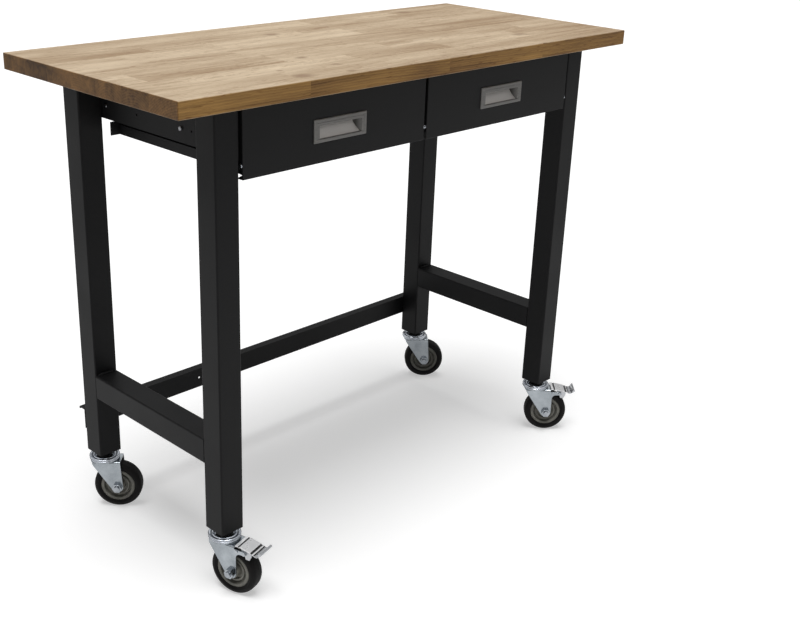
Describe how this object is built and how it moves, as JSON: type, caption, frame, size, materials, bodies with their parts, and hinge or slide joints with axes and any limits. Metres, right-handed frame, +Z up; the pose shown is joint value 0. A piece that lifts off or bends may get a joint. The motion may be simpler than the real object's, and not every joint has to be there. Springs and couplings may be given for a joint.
{
  "type": "mobile workbench",
  "caption": "Mobile workbench with a solid wood top on a tube-steel frame, side-by-side drawers on telescopic slides, and swivel castors with brake pedals at the front.",
  "frame": {"origin": "on the floor, under the middle of the box around the bench", "axes": "+X to the right along the worktop, +Y from the drawer fronts to the rear, +Z up"},
  "size_m": [1.2, 0.5496, 0.955],
  "materials": {
    "oak_worktop": "oiled, satin",
    "black_powder_coat": "fine satin powder coat",
    "black_drawer_coat": "fine satin powder coat",
    "zinc_plate": "plain",
    "zinc_fasteners": "bright zinc",
    "zinc_slides": "bright zinc",
    "zinc_castor": "blue zinc",
    "chrome_pedal": "bright",
    "dark_steel": "plain",
    "black_rubber": "matt",
    "taupe_hub": "satin moulding",
    "satin_grey_pull": "satin",
    "black_plastic": "matt"
  },
  "bodies": {
    "frame": {"worktop": "oak_worktop", "leg_front_left": "black_powder_coat", "leg_front_right": "black_powder_coat", "leg_rear_left": "black_powder_coat", "leg_rear_right": "black_powder_coat", "side_rail_left": "black_powder_coat", "side_rail_right": "black_powder_coat", "leg_foot_plates": "zinc_plate", "side_apron_left": "black_powder_coat", "side_apron_right": "black_powder_coat", "rear_stretcher": "black_powder_coat", "rear_panel": "black_powder_coat", "centre_hanger": "black_powder_coat", "slide_carrier_left": "black_powder_coat", "slide_carrier_right": "black_powder_coat", "worktop_screws": "zinc_fasteners", "frame_bolts": "zinc_fasteners", "carrier_bolts": "dark_steel", "left_drawer_slide_outer": "zinc_slides", "right_drawer_slide_outer": "zinc_slides", "castor_front_left_stem": "zinc_castor", "castor_front_right_stem": "zinc_castor", "castor_rear_left_stem": "zinc_castor", "castor_rear_right_stem": "zinc_castor", "castor_collars": "black_plastic"},
    "left_drawer": {"left_drawer_slide_inner": "zinc_slides", "left_drawer_slide_screws": "zinc_fasteners", "left_drawer_front": "black_drawer_coat", "left_drawer_box": "black_drawer_coat", "left_drawer_pull": "satin_grey_pull"},
    "left_slide_middle": {"left_drawer_slide_middle": "zinc_slides"},
    "right_drawer": {"right_drawer_slide_inner": "zinc_slides", "right_drawer_slide_screws": "zinc_fasteners", "right_drawer_front": "black_drawer_coat", "right_drawer_box": "black_drawer_coat", "right_drawer_pull": "satin_grey_pull"},
    "right_slide_middle": {"right_drawer_slide_middle": "zinc_slides"},
    "front_left_fork": {"castor_front_left_fork": "zinc_castor", "castor_front_left_axle": "zinc_fasteners", "castor_front_left_brake_pivot": "zinc_fasteners"},
    "front_left_wheel": {"castor_front_left_tyre": "black_rubber", "castor_front_left_hub": "taupe_hub"},
    "front_left_pedal": {"castor_front_left_brake_pedal": "chrome_pedal", "castor_front_left_brake_bar": "dark_steel"},
    "front_right_fork": {"castor_front_right_fork": "zinc_castor", "castor_front_right_axle": "zinc_fasteners", "castor_front_right_brake_pivot": "zinc_fasteners"},
    "front_right_wheel": {"castor_front_right_tyre": "black_rubber", "castor_front_right_hub": "taupe_hub"},
    "front_right_pedal": {"castor_front_right_brake_pedal": "chrome_pedal", "castor_front_right_brake_bar": "dark_steel"},
    "rear_left_fork": {"castor_rear_left_fork": "zinc_castor", "castor_rear_left_axle": "zinc_fasteners"},
    "rear_left_wheel": {"castor_rear_left_tyre": "black_rubber", "castor_rear_left_hub": "taupe_hub"},
    "rear_right_fork": {"castor_rear_right_fork": "zinc_castor", "castor_rear_right_axle": "zinc_fasteners"},
    "rear_right_wheel": {"castor_rear_right_tyre": "black_rubber", "castor_rear_right_hub": "taupe_hub"}
  },
  "joints": [
    {"name": "left_drawer_slide", "type": "slide", "parent": "frame", "child": "left_drawer", "axis": [0, -1, 0], "range_m": [0, 0.33]},
    {"name": "left_slide_middle_slide", "type": "slide", "parent": "frame", "child": "left_slide_middle", "axis": [0, -1, 0], "range_m": [0, 0.165]},
    {"name": "right_drawer_slide", "type": "slide", "parent": "frame", "child": "right_drawer", "axis": [0, -1, 0], "range_m": [0, 0.33]},
    {"name": "right_slide_middle_slide", "type": "slide", "parent": "frame", "child": "right_slide_middle", "axis": [0, -1, 0], "range_m": [0, 0.165]},
    {"name": "front_left_swivel", "type": "hinge", "parent": "frame", "child": "front_left_fork", "pos_m": [-0.478, -0.1805, 0.11], "axis": [0, 0, 1], "continuous": true},
    {"name": "front_left_wheel_spin", "type": "hinge", "parent": "front_left_fork", "child": "front_left_wheel", "pos_m": [-0.47056, -0.20645, 0.05], "axis": [0.9613, 0.2756, 0], "continuous": true},
    {"name": "front_left_brake_pedal_tilt", "type": "hinge", "parent": "front_left_fork", "child": "front_left_pedal", "pos_m": [-0.46229, -0.23529, 0.0998], "axis": [0.9613, 0.2756, 0], "range_deg": [0, 15]},
    {"name": "front_right_swivel", "type": "hinge", "parent": "frame", "child": "front_right_fork", "pos_m": [0.478, -0.1805, 0.11], "axis": [0, 0, 1], "continuous": true},
    {"name": "front_right_wheel_spin", "type": "hinge", "parent": "front_right_fork", "child": "front_right_wheel", "pos_m": [0.49676, -0.19992, 0.05], "axis": [0.7193, 0.6947, 0], "continuous": true},
    {"name": "front_right_brake_pedal_tilt", "type": "hinge", "parent": "front_right_fork", "child": "front_right_pedal", "pos_m": [0.5176, -0.2215, 0.0998], "axis": [0.7193, 0.6947, 0], "range_deg": [0, 15]},
    {"name": "rear_left_swivel", "type": "hinge", "parent": "frame", "child": "rear_left_fork", "pos_m": [-0.478, 0.2185, 0.11], "axis": [0, 0, 1], "continuous": true},
    {"name": "rear_left_wheel_spin", "type": "hinge", "parent": "rear_left_fork", "child": "rear_left_wheel", "pos_m": [-0.45891, 0.19941, 0.05], "axis": [0.7071, 0.7071, 0], "continuous": true},
    {"name": "rear_right_swivel", "type": "hinge", "parent": "frame", "child": "rear_right_fork", "pos_m": [0.478, 0.2185, 0.11], "axis": [0, 0, 1], "continuous": true},
    {"name": "rear_right_wheel_spin", "type": "hinge", "parent": "rear_right_fork", "child": "rear_right_wheel", "pos_m": [0.49775, 0.20009, 0.05], "axis": [0.682, 0.7314, 0], "continuous": true}
  ],
  "couplings": [
    {"joint": "left_slide_middle_slide", "follows": "left_drawer_slide", "ratio": 0.5},
    {"joint": "right_slide_middle_slide", "follows": "right_drawer_slide", "ratio": 0.5}
  ]
}
